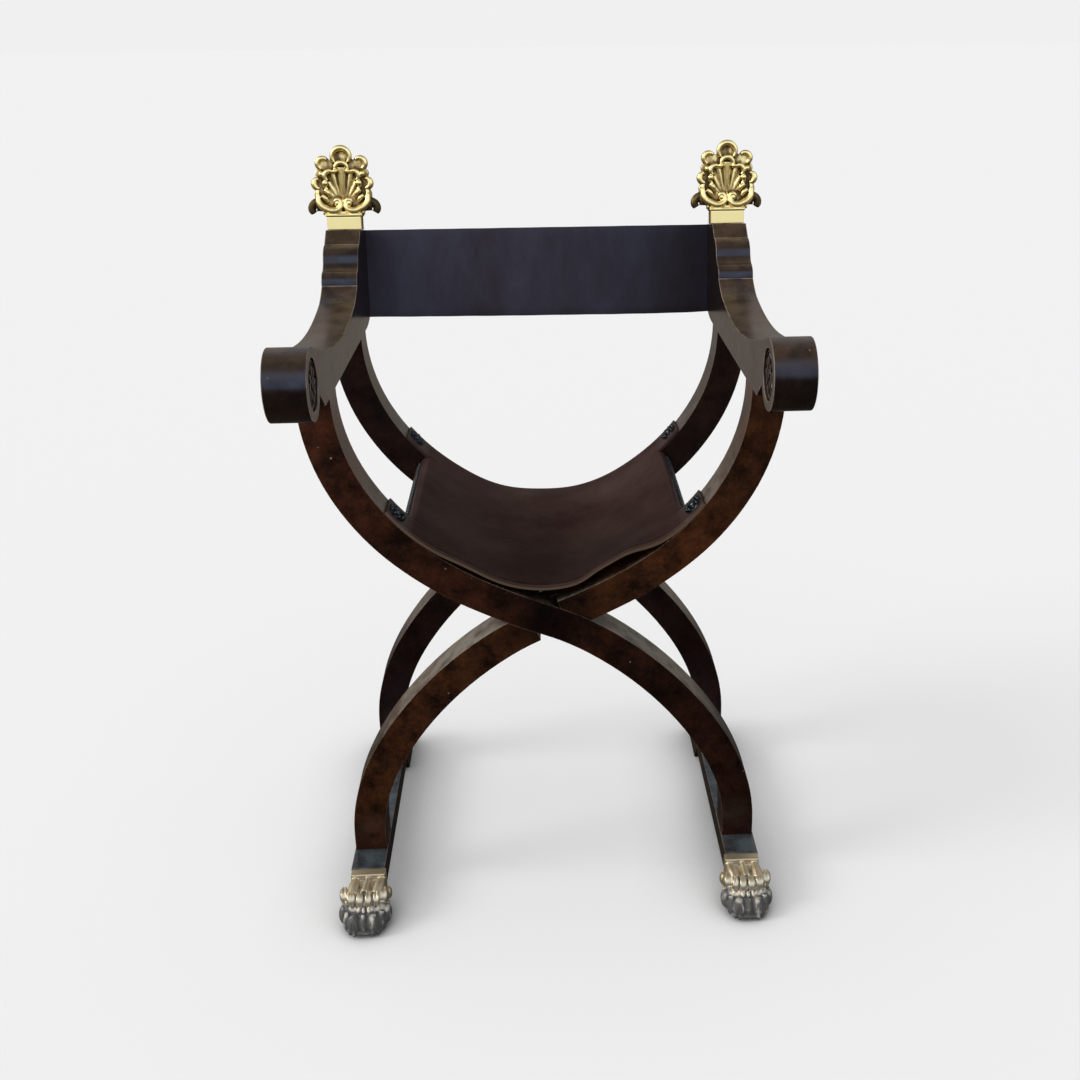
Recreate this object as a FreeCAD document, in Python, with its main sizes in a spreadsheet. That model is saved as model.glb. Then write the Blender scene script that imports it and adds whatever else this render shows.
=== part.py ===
import FreeCAD, Part
import math
import os
from FreeCAD import Placement, Rotation, Vector

# Savonarola chair: two S-curved crossing pairs on runners with paw feet, carved arms that rise into raked
# posts, a leather sling seat and a leather strap back. The frame folds about the round rail at the crossing.
# Origin on the floor under the middle of the chair, +X to the sitter's left, -Y towards the front, +Z up.

doc = FreeCAD.newDocument("savonarola_chair")
sheet = doc.addObject("Spreadsheet::Sheet", "Sizes")

SIZES = [
    ("front_face", -136.5, "front face of the front legs, from the middle of the chair"),
    ("leg_thick", 48, "leg from front to back"),
    ("leg_width", 39.5, "leg across its curve"),
    ("pair_gap", 247, "clear distance between the front and the rear pair"),
    ("cross_height", 375.2, "crossing above the floor"),
    ("cross_angle", 20.3, "slope of a leg at the crossing"),
    ("upper_run_one", 96, "first arc above the crossing"),
    ("upper_run_two", 96, "second arc above the crossing"),
    ("upper_run_three", 96, "third arc above the crossing"),
    ("upper_run_four", 124.6, "last arc, up to the arm"),
    ("upper_turn_one", 7.2, "bend of the first arc above the crossing"),
    ("upper_turn_two", 13.8, "bend of the second arc"),
    ("upper_turn_three", 19.2, "bend of the third arc"),
    ("lower_run_one", 64, "first arc below the crossing"),
    ("lower_run_two", 192, "second arc below the crossing"),
    ("lower_run_three", 64, "third arc below the crossing"),
    ("lower_run_four", 81, "last arc, down to the straight foot"),
    ("lower_turn_one", 11.7, "bend of the first arc below the crossing"),
    ("lower_turn_two", 24.6, "bend of the second arc"),
    ("lower_turn_three", 11.6, "bend of the third arc"),
    ("foot_straight", 22.3, "straight end of a leg above the runner"),
    ("fold_angle", 45, "how far one half folds against the other"),
    ("lap_clearance", 0.3, "gap round the halved crossing"),
    ("joint_clearance", 0.1, "gap round a glued tenon"),
    ("overrun", 5, "how far a cut runs past the face that it opens"),
    ("tenon_across", 20, "leg tenon across the chair"),
    ("tenon_deep", 30, "leg tenon from front to back"),
    ("tenon_long", 22, "leg tenon into the arm"),
    ("foot_tenon_long", 20, "leg tenon into the runner"),
    ("pivot_diameter", 16, "journal of the round rail at the crossing"),
    ("pivot_clearance", 0.08, "running gap round the journal"),
    ("pivot_depth", 14, "journal into the far half of the crossing"),
    ("bar_diameter", 26, "round rail between the pairs"),
    ("bar_gap", 0.3, "running gap at the shoulder of the round rail"),
    ("rail_at", 190, "seat rail along the leg, from the crossing"),
    ("rail_section", 24, "seat rail square"),
    ("rail_corner", 5, "rounded edge of the seat rail"),
    ("rail_tenon", 14, "seat rail tenon square"),
    ("rail_tenon_long", 18, "seat rail tenon into the leg"),
    ("runner_top", 56, "top of the runner"),
    ("runner_wide", 42, "runner across"),
    ("runner_deep", 29, "runner from top to underside between the feet"),
    ("runner_front", 41, "shoulder of the runner forward of the front legs"),
    ("runner_rear", 30, "runner behind the rear legs"),
    ("foot_long", 74, "flat of the rear foot on the floor"),
    ("foot_sweep", 30, "curve from the runner's underside into the rear foot"),
    ("toe_tongue", 26, "tongue of the runner inside the paw"),
    ("tongue_wide", 26, "tongue across"),
    ("tongue_high", 14, "tongue height"),
    ("tongue_low", 21, "tongue's middle below the runner's top"),
    ("paw_wide", 66, "paw across"),
    ("paw_long", 71, "paw from collar to claws"),
    ("paw_inset", -1.5, "paw centre towards the middle of the chair, outwards where negative"),
    ("knuckle_radius", 9.5, "knuckles of the paw"),
    ("toe_radius", 12.5, "toes of the paw"),
    ("arm_thick", 46, "arm board"),
    ("arm_outset", 1.2, "arm centre outside the leg centre"),
    ("arm_fall", 460, "post front behind the scroll centre"),
    ("post_rise", 131, "front arris of the post top above the arm underside"),
    ("post_front", 357, "post front behind the front face of the legs"),
    ("post_depth", 34, "back of the arm behind the post front, at the underside"),
    ("post_rake", 8.5, "lean of the back and of the finials"),
    ("heel_round", 12, "rounded heel of the arm"),
    ("heel_run", 46, "rising end of the arm's underside"),
    ("scroll_radius", 39, "scroll at the arm's front end"),
    ("scroll_rise", 41, "scroll centre above the arm underside"),
    ("scroll_leave", 75.7, "where the top of the arm leaves the scroll"),
    ("scroll_notch", 29.4, "where the notch under the arm leaves the scroll"),
    ("tip_reach", 38, "pointed tip forward of the front legs"),
    ("recess_radius", 28, "sunk roundel in the scroll's inner face"),
    ("recess_deep", 5, "depth of the roundel"),
    ("rosette_thick", 2, "ground of the rosette"),
    ("rosette_petal", 2.6, "petals above the ground"),
    ("rosette_gap", 0.3, "rosette to recess wall"),
    ("leather_thick", 3.2, "seat leather"),
    ("leather_gap", 0.3, "leather to wood"),
    ("leather_leave", 128, "where the leather leaves the leg, from the crossing"),
    ("ear_end", 246, "end of the leather ears along the leg"),
    ("flap_drop", 15, "leather down the outer side of the rail"),
    ("boss_at", 231, "boss along the leg"),
    ("boss_radius", 12.5, "boss on the leather ear"),
    ("boss_high", 6, "boss height"),
    ("nail_radius", 3.3, "nail head on the seat rail"),
    ("nail_high", 2, "nail head height"),
    ("nail_pitch", 9, "distance between nails on the rail"),
    ("nail_low", 10, "nail row below the rail's top face"),
    ("back_thick", 4, "back leather"),
    ("back_high", 118, "back leather height"),
    ("back_low", 6, "lower edge of the back leather above the arm underside"),
    ("back_nail_radius", 5, "nail head on the back leather"),
    ("back_nail_high", 3, "nail head height"),
    ("back_nail_pitch", 24, "distance between nails on the back"),
    ("block_wide", 45, "finial block across"),
    ("block_deep", 26, "finial block depth"),
    ("block_high", 21, "finial block height"),
    ("block_inset", 2.2, "finial towards the middle of the chair"),
    ("shell_half", 43, "half width of the shell"),
    ("shell_high", 88, "shell above the block"),
    ("shell_thick", 9, "shell plate"),
    ("shell_relief", 6, "relief of the shell's flutes"),
    ("stud_diameter", 8, "stud in the finial"),
    ("stud_long", 34, "stud length, half in the post"),
]
for row, (alias, value, note) in enumerate(SIZES, 1):
    sheet.set("A%d" % row, note)
    sheet.set("B%d" % row, str(value))
    sheet.setAlias("B%d" % row, alias)
doc.recompute()


def size(alias):
    """A driving size from the sheet."""
    return float(sheet.get(alias))


leg_thick = size("leg_thick")
half_leg = size("leg_width") / 2
seat_top = half_leg + size("leather_gap")
rear_face = leg_thick + size("pair_gap")
depth = rear_face + leg_thick
overrun = size("overrun")


def step(knot, length, turn):
    """End of an arc of this length and turn that starts at a knot (across, up, heading)."""
    across, up, heading = knot
    bend = math.radians(turn)
    chord = 2 * length / bend * math.sin(bend / 2) if turn else length
    toward = math.radians(heading + turn / 2)
    return across + chord * math.cos(toward), up + chord * math.sin(toward), heading + turn


def run(start, pieces):
    """Knots at both ends and at the middle of each of a chain of tangent arcs."""
    knots = [start]
    for length, turn in pieces:
        for end in ("middle", "end"):
            knots.append(step(knots[-1], length / 2, turn / 2))
    return knots


def stretch(pieces, first, last):
    """The part of a chain of arcs between two distances along it."""
    found = []
    done = 0
    for length, turn in pieces:
        low = max(first, done)
        high = min(last, done + length)
        if high > low:
            found.append((high - low, turn * (high - low) / length))
        done += length
    return found


def beside(knots, offset):
    """The same chain of knots moved to its left by an offset."""
    return [
        (a - offset * math.sin(math.radians(t)), u + offset * math.cos(math.radians(t)), t)
        for a, u, t in knots
    ]


def turned(knots, angle):
    """A chain of knots turned about the crossing."""
    centre = size("cross_height")
    c = math.cos(math.radians(angle))
    s = math.sin(math.radians(angle))
    return [(a * c - (u - centre) * s, centre + a * s + (u - centre) * c, t + angle) for a, u, t in knots]


def mirrored(knots):
    """The chain on the other side of the chair, run the other way."""
    return [(-a, u, -t) for a, u, t in reversed(knots)]


def bend_edge(first, middle, last):
    """An arc through three points, or a line where they lie in one."""
    chord = last - first
    rise = (middle - first).cross(chord).Length
    if rise <= chord.Length * chord.Length / 1e6:
        return Part.LineSegment(first, last)
    return Part.Arc(first, middle, last)


def ribbon(knots, right, left, side=1):
    """Closed outline between two offsets of a chain of knots."""
    low = [Vector(side * a, u, 0) for a, u, t in beside(knots, right)]
    high = [Vector(side * a, u, 0) for a, u, t in beside(knots, left)]
    edges = [bend_edge(*low[i : i + 3]) for i in range(0, len(low) - 1, 2)]
    edges.append(Part.LineSegment(low[-1], high[-1]))
    back = high[::-1]
    edges += [bend_edge(*back[i : i + 3]) for i in range(0, len(back) - 1, 2)]
    edges.append(Part.LineSegment(high[0], low[0]))
    return edges


def loop(points):
    """Closed outline through points: a single point ends a line, a pair is an arc's middle and end."""
    edges = []
    here = start = points[0]
    for spot in points[1:]:
        if isinstance(spot, tuple):
            edges.append(bend_edge(here, spot[0], spot[1]))
            here = spot[1]
        else:
            edges.append(Part.LineSegment(here, spot))
            here = spot
    if (here - start).Length > 1e-9:
        edges.append(Part.LineSegment(here, start))
    return edges


def new_body(label, back=None):
    """A body whose frame stands at the front legs' front face, or further back."""
    made = doc.addObject("PartDesign::Body", label)
    made.Label = label
    made.setExpression("Placement.Base.y", "Sizes.front_face" + (" + " + back if back else ""))
    return made


def plane_of(body, role):
    """One of a body's own origin planes."""
    return next(f for f in body.Origin.OriginFeatures if f.Role == role)


def new_sketch(body, name, role, edges, lift=None):
    """A sketch on an origin plane, lifted along its normal by an expression."""
    drawn = body.newObject("Sketcher::SketchObject", body.Label + "_" + name)
    drawn.AttachmentSupport = [(plane_of(body, role), "")]
    drawn.MapMode = "FlatFace"
    if lift:
        drawn.setExpression("AttachmentOffset.Base.z", lift)
    drawn.addGeometry(edges, False)
    return drawn


def swell(body, name, drawn, length, back=False):
    """A pad of a sketch, its length bound to the sheet."""
    made = body.newObject("PartDesign::Pad", body.Label + "_" + name)
    made.Profile = drawn
    made.Reversed = back
    made.setExpression("Length", length)
    return made


def sink(body, name, drawn, length, back=False):
    """A pocket of a sketch, its depth bound to the sheet."""
    doc.recompute()
    before = body.Shape.Volume
    made = body.newObject("PartDesign::Pocket", body.Label + "_" + name)
    made.Profile = drawn
    made.Reversed = back
    made.setExpression("Length", length)
    doc.recompute()
    assert body.Shape.Volume < before, made.Name
    return made


def ring(centre, radius):
    """A full circle for a sketch."""
    return [Part.Circle(centre, Vector(0, 0, 1), radius)]


def bound_ring(body, name, role, across, up, diameter, lift=None):
    """A sketch of one circle whose place and diameter are constraints bound to the sheet."""
    import Sketcher

    drawn = new_sketch(body, name, role, ring(Vector(across, up, 0), size(diameter) / 2), lift)
    place = drawn.addConstraint(Sketcher.Constraint("DistanceY", -1, 1, 0, 3, up))
    wide = drawn.addConstraint(Sketcher.Constraint("Diameter", 0, size(diameter)))
    drawn.addConstraint(Sketcher.Constraint("DistanceX", -1, 1, 0, 3, across))
    drawn.setExpression("Constraints[%d]" % wide, "Sizes." + diameter)
    return drawn, place


def box_loop(across, up, wide, high):
    """A rectangle about a centre."""
    a = wide / 2
    b = high / 2
    return loop([Vector(across + i * a, up + j * b, 0) for i, j in ((-1, -1), (1, -1), (1, 1), (-1, 1))])


# The curve of a leg: tangent arcs up and down from the crossing, both ends upright. The lower arcs keep their
# proportions and fill the height that the crossing, the runner and the straight end leave them.
upper = [(size("upper_run_" + n), size("upper_turn_" + n)) for n in ("one", "two", "three")]
upper.append((size("upper_run_four"), 90 - size("cross_angle") - sum(t for r, t in upper)))
lower = [(size("lower_run_" + n), size("lower_turn_" + n)) for n in ("one", "two", "three")]
lower.append((size("lower_run_four"), 90 - size("cross_angle") - sum(t for r, t in lower)))
crossing = (0, size("cross_height"), size("cross_angle"))
down_start = (crossing[0], crossing[1], crossing[2] + 180)
drop = crossing[1] - run(down_start, lower)[-1][1]
fit = (crossing[1] - size("runner_top") - size("foot_straight")) / drop
lower = [(length * fit, turn) for length, turn in lower]
up_chain = run(crossing, upper)
down_chain = run(down_start, lower)
foot_reach = -down_chain[-1][0]
down_chain += run(down_chain[-1], [(size("foot_straight"), 0)])[1:]
leg_chain = [(a, u, t - 180) for a, u, t in reversed(down_chain)] + up_chain[1:]
top_reach, arm_seat, upright = up_chain[-1]
arm_centre = top_reach + size("arm_outset")
arm_inner = arm_centre - size("arm_thick") / 2
arm_outer = arm_centre + size("arm_thick") / 2
near_chain = [(a, u, t - 180) for a, u, t in reversed(run(down_start, lower[:2]))]
near_chain += run(crossing, upper[:2])[1:]
rail_knot = run(crossing, stretch(upper, 0, size("rail_at")))[-1]
rail_spot = beside([rail_knot], half_leg - size("rail_section") / 2)[0]


def tilted_square(knot, wide, side, corner=0):
    """A square with rounded corners that leans with a knot's heading."""
    half = wide / 2
    lean = math.radians(knot[2])
    along = Vector(math.cos(lean), math.sin(lean), 0)
    across = Vector(-math.sin(lean), math.cos(lean), 0)
    middle = Vector(knot[0], knot[1], 0)
    spots = []
    for i, j in ((1, -1), (1, 1), (-1, 1), (-1, -1)):
        into = corner * (1 - math.sqrt(0.5))
        first = along * (i * (half - (corner if i != j else 0))) + across * (j * (half - (corner if i == j else 0)))
        last = along * (i * (half - (corner if i == j else 0))) + across * (j * (half - (corner if i != j else 0)))
        mid = along * (i * (half - into)) + across * (j * (half - into))
        spots.append((first, mid, last))
    flat = [Vector(side * p.x, p.y, 0) for p in [middle + s for trio in spots for s in trio]]
    if not corner:
        return loop([flat[0], flat[3], flat[6], flat[9]])
    points = [flat[0]]
    for n in range(4):
        if n:
            points.append(flat[3 * n])
        points.append((flat[3 * n + 1], flat[3 * n + 2]))
    return loop(points)


def leg(label, side, rear):
    """One leg, halved at the crossing, with tenons for the arm and the runner and its mortises.

    Side 1 rises to +X and keeps the rear half at the crossing, side -1 rises to -X and keeps the front half.
    """
    body = new_body(label, "Sizes.leg_thick + Sizes.pair_gap" if rear else None)
    swell(body, "board", new_sketch(body, "curve", "XZ_Plane", ribbon(leg_chain, -half_leg, half_leg, side)),
          "Sizes.leg_thick", True)
    wide = size("tenon_across")
    deep = size("tenon_deep")
    for name, reach, lift, length, back in (
        ("arm_tenon", side * top_reach, arm_seat, "Sizes.tenon_long", False),
        ("foot_tenon", -side * foot_reach, size("runner_top"), "Sizes.foot_tenon_long", True),
    ):
        drawn = new_sketch(body, name + "_plan", "XY_Plane", box_loop(reach, leg_thick / 2, wide, deep), str(lift))
        swell(body, name, drawn, length, back)
    gap = half_leg + size("lap_clearance")
    away = -side * size("fold_angle")
    for name, chain in (("lap", near_chain), ("fold_lap", turned(near_chain, away * -side))):
        drawn = new_sketch(
            body, name + "_curve", "XZ_Plane", ribbon(chain, -gap, gap, -side),
            "-(Sizes.leg_thick - Sizes.lap_clearance) / 2" if side < 0 else "-(Sizes.leg_thick + Sizes.lap_clearance) / 2",
        )
        sink(body, name, drawn, "Sizes.leg_thick / 2 + Sizes.overrun", side > 0)
    through = (side > 0) != rear
    half = "Sizes.leg_thick / 2"
    if through:
        drawn, place = bound_ring(body, "pivot_plan", "XZ_Plane", 0, crossing[1], "pivot_diameter")
        length = "Sizes.leg_thick + Sizes.overrun"
    else:
        drawn, place = bound_ring(body, "pivot_plan", "XZ_Plane", 0, crossing[1], "pivot_diameter", "-" + half)
        length = "Sizes.pivot_depth + Sizes.joint_clearance"
    slack = "2 * Sizes.pivot_clearance" if side > 0 else "2 * Sizes.joint_clearance"
    drawn.setExpression("Constraints[%d]" % (place + 1), "Sizes.pivot_diameter + " + slack)
    drawn.setExpression("Constraints[%d]" % place, "Sizes.cross_height")
    sink(body, "pivot_hole", drawn, length, not through and not rear)
    wide = size("rail_tenon") + 2 * size("joint_clearance")
    face = None if rear else "-Sizes.leg_thick"
    drawn = new_sketch(body, "rail_mortise_plan", "XZ_Plane", tilted_square(rail_spot, wide, side), face)
    sink(body, "rail_mortise", drawn, "Sizes.rail_tenon_long + Sizes.joint_clearance", not rear)
    return body


legs = {}
for name, side in (("a", -1), ("b", 1)):
    legs["front_member_" + name] = leg("front_member_" + name, side, False)
    legs["rear_member_" + name] = leg("rear_member_" + name, side, True)

rake = math.radians(size("post_rake"))
post_front = size("post_front")
post_rise = size("post_rise")
arm_fall = size("arm_fall")
scroll_spot = (post_front - arm_fall, arm_seat + size("scroll_rise"))
rear_foot = post_front + size("post_depth")

# The arm's top from the scroll to the post: middle and end of each arc as shares of the arm's run and rise.
ARM_TOP_SHARES = [
    ((0.204, 0.427), (0.441, 0.317)),
    ((0.637, 0.336), (0.767, 0.408)),
    ((0.806, 0.466), (0.839, 0.534)),
    ((0.849, 0.622), (0.874, 0.664)),
    ((0.892, 0.702), (0.902, 0.763)),
    ((0.921, 0.847), (0.95, 0.878)),
]


def side_spot(back, up):
    """A point of a side view, as the sketches on the YZ plane take it."""
    return Vector(back, up, 0)


def raked(back, up):
    """A point of the leaning post frame, whose origin is the front arris of the post top."""
    return side_spot(
        post_front + back * math.cos(rake) + up * math.sin(rake),
        arm_seat + post_rise + up * math.cos(rake) - back * math.sin(rake),
    )


def arm_outline():
    """Side view of the board: scroll, swept top with two reeds, raked post and straight underside."""
    radius = size("scroll_radius")

    def rim(angle):
        turn = math.radians(angle)
        return side_spot(scroll_spot[0] + radius * math.cos(turn), scroll_spot[1] + radius * math.sin(turn))

    def top(share):
        return side_spot(scroll_spot[0] + share[0] * arm_fall, arm_seat + share[1] * post_rise)

    leave = size("scroll_leave")
    notch = 360 - size("scroll_notch")
    heel = size("heel_round")
    run_out = size("heel_run")
    slope = math.tan(rake)
    post_deep = (rear_foot + post_rise * slope - post_front) * math.cos(rake)
    points = [rim(notch), side_spot(-size("tip_reach"), arm_seat), side_spot(rear_foot - run_out, arm_seat)]
    points.append((side_spot(rear_foot - run_out / 2, arm_seat + heel / 6),
                   side_spot(rear_foot - heel / 2, arm_seat + heel / 2)))
    points.append((side_spot(rear_foot + heel * slope / 6, arm_seat + heel),
                   side_spot(rear_foot + heel * slope * 1.6, arm_seat + heel * 1.6)))
    points += [raked(post_deep, 0), raked(0, 0)]
    stations = [top((1, 1))]
    for middle, end in reversed(ARM_TOP_SHARES):
        stations += [top(end), top(middle)]
    stations.append(rim(leave))
    points.append(stations[1])
    for n in range(1, len(stations) - 2, 2):
        points.append((stations[n + 1], stations[n + 2]))
    points.append((rim((leave + notch) / 2), rim(notch)))
    return loop(points)


def arm(label, side):
    """An arm board with its post: mortises below, a sunk roundel in the scroll and a bore for the finial."""
    body = new_body(label)
    low = arm_inner if side > 0 else -arm_outer
    swell(body, "board", new_sketch(body, "outline", "YZ_Plane", arm_outline(), str(low)), "Sizes.arm_thick")
    wide = size("tenon_across") + 2 * size("joint_clearance")
    deep = size("tenon_deep") + 2 * size("joint_clearance")
    for name, back in (("front", leg_thick / 2), ("rear", rear_face + leg_thick / 2)):
        drawn = new_sketch(body, name + "_mortise_plan", "XY_Plane", box_loop(side * top_reach, back, wide, deep),
                           str(arm_seat))
        sink(body, name + "_mortise", drawn, "Sizes.tenon_long + Sizes.joint_clearance", True)
    centre = Vector(scroll_spot[0], scroll_spot[1], 0)
    drawn = new_sketch(body, "roundel_plan", "YZ_Plane", ring(centre, size("recess_radius")), str(side * arm_inner))
    sink(body, "roundel", drawn, "Sizes.recess_deep", side > 0)
    bore = body.newObject("PartDesign::SubtractiveCylinder", label + "_stud_bore")
    bore.setExpression("Radius", "Sizes.stud_diameter / 2 + Sizes.joint_clearance")
    bore.setExpression("Height", "Sizes.stud_long / 2 + Sizes.joint_clearance + Sizes.overrun")
    foot = raked(size("block_deep") / 2, -size("stud_long") / 2 - size("joint_clearance"))
    bore.Placement = Placement(
        Vector(side * (arm_centre - size("block_inset")), foot.x, foot.y),
        Rotation(Vector(1, 0, 0), -size("post_rake")),
    )
    return body


def rosette(label, side):
    """A rosette of eight petals round a boss, seated in the sunk roundel."""
    body = doc.addObject("PartDesign::Body", label)
    body.Label = label
    body.Placement.Base = Vector(
        side * (arm_inner + size("recess_deep")), size("front_face") + scroll_spot[0], scroll_spot[1]
    )
    reach = size("recess_radius") - size("rosette_gap")
    drawn = new_sketch(body, "ground_plan", "YZ_Plane", ring(Vector(0, 0, 0), reach))
    swell(body, "ground", drawn, "Sizes.rosette_thick", side > 0)
    drawn = new_sketch(body, "boss_plan", "YZ_Plane", ring(Vector(0, 0, 0), reach / 5))
    swell(body, "boss", drawn, "Sizes.rosette_thick + Sizes.rosette_petal", side > 0)
    near = side_spot(reach * 0.26, 0)
    far = side_spot(reach * 0.92, 0)
    leaf = [bend_edge(near, side_spot(reach * 0.64, reach * 0.21), far),
            bend_edge(far, side_spot(reach * 0.64, -reach * 0.21), near)]
    drawn = new_sketch(body, "petal_plan", "YZ_Plane", leaf)
    petal = swell(body, "petal", drawn, "Sizes.rosette_thick + Sizes.rosette_petal", side > 0)
    doc.recompute()
    petals = body.newObject("PartDesign::PolarPattern", label + "_petals")
    petals.Originals = [petal]
    petals.Axis = (drawn, ["N_Axis"])
    petals.Angle = 360
    petals.Occurrences = 8
    body.Tip = petals
    return body


def runner(label, side):
    """A runner with its rear foot, the tongue for the paw and two mortises for the legs."""
    body = new_body(label)
    top = size("runner_top")
    low = top - size("runner_deep")
    front = -size("runner_front")
    rear = depth + size("runner_rear")
    sweep = size("foot_sweep")
    curl = size("heel_round")
    foot = rear - curl - size("foot_long")
    bow = math.sqrt(0.5)
    outline = loop([
        side_spot(front, top),
        side_spot(front, low),
        side_spot(foot - sweep, low),
        (side_spot(foot - sweep + sweep * bow, low - low * (1 - bow)), side_spot(foot, 0)),
        side_spot(rear - curl, 0),
        (side_spot(rear - curl + curl * bow, curl - curl * bow), side_spot(rear, curl)),
        side_spot(rear, top - curl),
        (side_spot(rear - curl + curl * bow, top - curl + curl * bow), side_spot(rear - curl, top)),
    ])
    wide = size("runner_wide")
    drawn = new_sketch(body, "outline", "YZ_Plane", outline, str(side * foot_reach - wide / 2))
    swell(body, "board", drawn, "Sizes.runner_wide")
    drawn = new_sketch(
        body, "tongue_plan", "XZ_Plane",
        box_loop(side * foot_reach, top - size("tongue_low"), size("tongue_wide"), size("tongue_high")),
        "Sizes.runner_front",
    )
    swell(body, "tongue", drawn, "Sizes.toe_tongue")
    wide = size("tenon_across") + 2 * size("joint_clearance")
    deep = size("tenon_deep") + 2 * size("joint_clearance")
    for name, back in (("front", leg_thick / 2), ("rear", rear_face + leg_thick / 2)):
        drawn = new_sketch(body, name + "_mortise_plan", "XY_Plane", box_loop(side * foot_reach, back, wide, deep),
                           "Sizes.runner_top")
        sink(body, name + "_mortise", drawn, "Sizes.foot_tenon_long + Sizes.joint_clearance")
    return body


def seat_rail(label, side):
    """A square rail between the front and the rear leg of one side, its top face flush with the legs."""
    body = new_body(label)
    edges = tilted_square(rail_spot, size("rail_section"), side, size("rail_corner"))
    swell(body, "bar", new_sketch(body, "section", "XZ_Plane", edges, "-Sizes.leg_thick"), "Sizes.pair_gap", True)
    edges = tilted_square(rail_spot, size("rail_tenon"), side)
    drawn = new_sketch(body, "tenon_section", "XZ_Plane", edges, "-(Sizes.leg_thick - Sizes.rail_tenon_long)")
    swell(body, "tenons", drawn, "Sizes.pair_gap + 2 * Sizes.rail_tenon_long", True)
    return body


def sling():
    """The seat: one sheet that hangs between the legs, with ears up the legs and flaps round the rails."""
    body = new_body("leather_seat")
    thick = size("leather_thick")
    leave = run(crossing, stretch(upper, 0, size("leather_leave")))[-1]
    turn = leave[2]
    radius = leave[0] / math.sin(math.radians(turn))
    start = (0, leave[1] - radius * (1 - math.cos(math.radians(turn))), 0)
    hang = (radius * math.radians(turn), turn)
    ears = beside(run(start, [hang] + stretch(upper, size("leather_leave"), size("ear_end"))), seat_top)
    over = beside(run(start, [hang] + stretch(upper, size("leather_leave"), size("rail_at"))), seat_top)
    corner = size("rail_corner")
    round_corner = corner + size("leather_gap")
    over += run(over[-1], [
        (size("rail_section") / 2 - corner, 0),
        (round_corner * math.pi / 2, -90),
        (size("flap_drop"), 0),
    ])[1:]
    for name, chain, lift, length in (
        ("front", ears, None, "Sizes.leg_thick + Sizes.leather_gap"),
        ("middle", over, "-(Sizes.leg_thick + Sizes.leather_gap)", "Sizes.pair_gap - 2 * Sizes.leather_gap"),
        ("rear", ears, "-(Sizes.leg_thick + Sizes.pair_gap - Sizes.leather_gap)",
         "Sizes.leg_thick + Sizes.leather_gap"),
    ):
        whole = mirrored(chain) + chain[1:]
        drawn = new_sketch(body, name + "_curve", "XZ_Plane", ribbon(whole, 0, thick), lift)
        swell(body, name, drawn, length, True)
    return body


def shaped(label, shape, place=None):
    """A piece whose shape is worked out here from the sheet's sizes."""
    made = doc.addObject("Part::Feature", label)
    made.Label = label
    made.Shape = shape
    made.Placement = place or Placement(Vector(0, size("front_face"), 0), Rotation())
    return made


def dome(radius, high, spot, out):
    """A nail head or boss: a cap of a ball with its flat side at a spot, facing outwards."""
    ball = (radius * radius + high * high) / (2 * high)
    low = math.degrees(math.asin((ball - high) / ball))
    cap = Part.makeSphere(ball, Vector(0, 0, high - ball), Vector(0, 0, 1), low, 90, 360)
    cap.Placement = Placement(spot, Rotation(Vector(0, 0, 1), out))
    return cap


def rail_nails(label, side):
    """A row of nail heads along the leather on the outer side of a seat rail."""
    lean = math.radians(rail_spot[2])
    out = size("rail_section") / 2 + size("leather_gap") + size("leather_thick")
    down = size("rail_section") / 2 - size("nail_low")
    across = rail_spot[0] + out * math.cos(lean) - down * math.sin(lean)
    up = rail_spot[1] + out * math.sin(lean) + down * math.cos(lean)
    pitch = size("nail_pitch")
    count = int(size("pair_gap") / pitch) - 1
    first = leg_thick + (size("pair_gap") - (count - 1) * pitch) / 2
    facing = Vector(side * math.cos(lean), 0, math.sin(lean))
    heads = [
        dome(size("nail_radius"), size("nail_high"), Vector(side * across, first + n * pitch, up), facing)
        for n in range(count)
    ]
    return shaped(label, Part.makeCompound(heads))


def ear_bosses(label, side):
    """Two bosses, on the front and the rear ear of the seat."""
    knot = run(crossing, stretch(upper, 0, size("boss_at")))[-1]
    spot = beside([knot], seat_top + size("leather_thick") + size("leather_gap"))[0]
    lean = math.radians(spot[2])
    facing = Vector(-side * math.sin(lean), 0, math.cos(lean))
    heads = [
        dome(size("boss_radius"), size("boss_high"), Vector(side * spot[0], back + leg_thick / 2, spot[1]), facing)
        for back in (0, rear_face)
    ]
    return shaped(label, Part.makeCompound(heads))


def back_nails(label, side):
    """A column of nail heads through the back leather into the rear of a post."""
    off = size("leather_gap") + size("back_thick")
    high = size("back_high")
    pitch = size("back_nail_pitch")
    count = int(high / pitch) + 1
    first = (high - (count - 1) * pitch) / 2
    slope = math.tan(rake)
    heads = []
    for n in range(count):
        along = first + n * pitch
        back = rear_foot + size("back_low") * slope + off * math.cos(rake) + along * math.sin(rake)
        up = arm_seat + size("back_low") - off * math.sin(rake) + along * math.cos(rake)
        spot = Vector(side * arm_centre, back, up)
        facing = Vector(0, math.cos(rake), -math.sin(rake))
        heads.append(dome(size("back_nail_radius"), size("back_nail_high"), spot, facing))
    return shaped(label, Part.makeCompound(heads))


def back_strap():
    """The back: a flat leather strap across the rear faces of the posts."""
    strap = doc.addObject("Part::Box", "leather_back")
    strap.Label = "leather_back"
    strap.Length = 2 * arm_outer
    strap.setExpression("Width", "Sizes.back_thick")
    strap.setExpression("Height", "Sizes.back_high")
    gap = size("leather_gap")
    low = size("back_low")
    strap.Placement = Placement(
        Vector(
            -arm_outer,
            size("front_face") + rear_foot + low * math.tan(rake) + gap * math.cos(rake),
            arm_seat + low - gap * math.sin(rake),
        ),
        Rotation(Vector(1, 0, 0), -size("post_rake")),
    )
    return strap


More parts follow.
